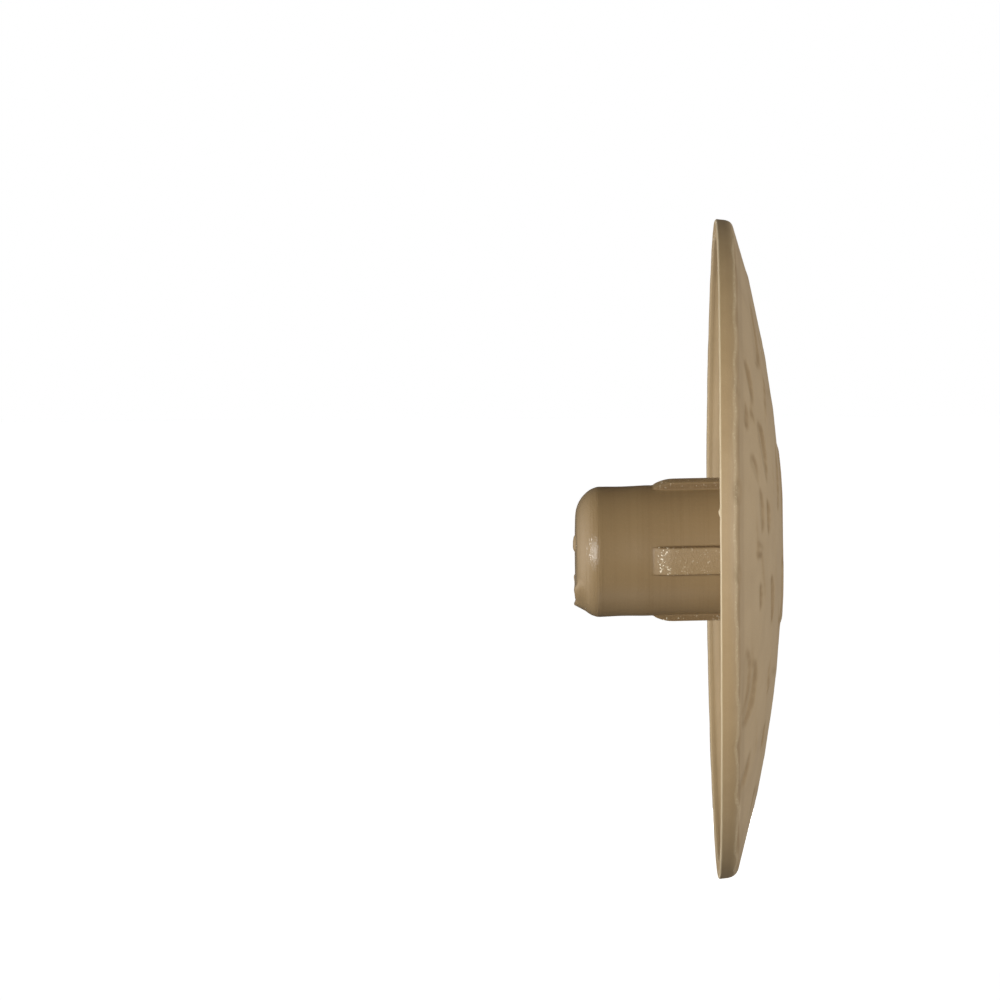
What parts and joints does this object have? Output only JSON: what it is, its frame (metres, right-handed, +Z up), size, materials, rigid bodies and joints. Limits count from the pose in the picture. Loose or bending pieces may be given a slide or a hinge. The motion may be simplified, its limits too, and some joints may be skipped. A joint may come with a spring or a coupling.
{
  "type": "anchor cover cap",
  "caption": "Domed round cover cap with a hewn stone-like face, a hollow back and a ribbed push-in stem that plugs a wall anchor's mouth.",
  "frame": {"origin": "centre of the rim's seating plane, the flat land at the back of the disc that lies on the wall", "axes": "+X out of the wall to the dome's apex, with the stem towards -X; +Z up; -Y is the near side in the picture"},
  "size_m": [0.0159, 0.05, 0.05],
  "materials": {
    "cap": "moulded, spark-eroded face and ribs, smoother stem"
  },
  "bodies": {
    "root": {"cap": "cap"}
  },
  "joints": []
}
